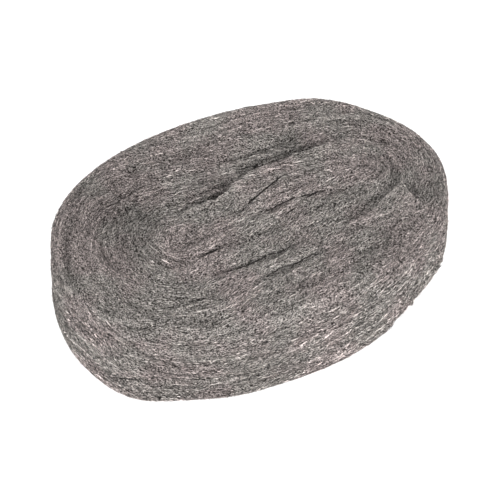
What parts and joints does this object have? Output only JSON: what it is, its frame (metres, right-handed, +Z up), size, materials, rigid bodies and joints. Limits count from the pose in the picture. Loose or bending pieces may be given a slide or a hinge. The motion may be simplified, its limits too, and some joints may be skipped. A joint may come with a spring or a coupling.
{
  "type": "steel wool pad",
  "caption": "Oval hand pad of fine steel wool, slivers wound together into one soft flat cake, for rubbing down, cleaning and polishing.",
  "frame": {"origin": "middle of the pad's underside, under the centre of its bounding box", "axes": "+X along the pad's length, +Y across it, +Z up through its thickness to the face with the open whorl"},
  "size_m": [0.13, 0.0902, 0.0413],
  "materials": {
    "steel_wool": "fine felted steel fibres, warm mid grey, with a dull glitter"
  },
  "bodies": {
    "root": {"steel_wool_pad": "steel_wool"}
  },
  "joints": []
}
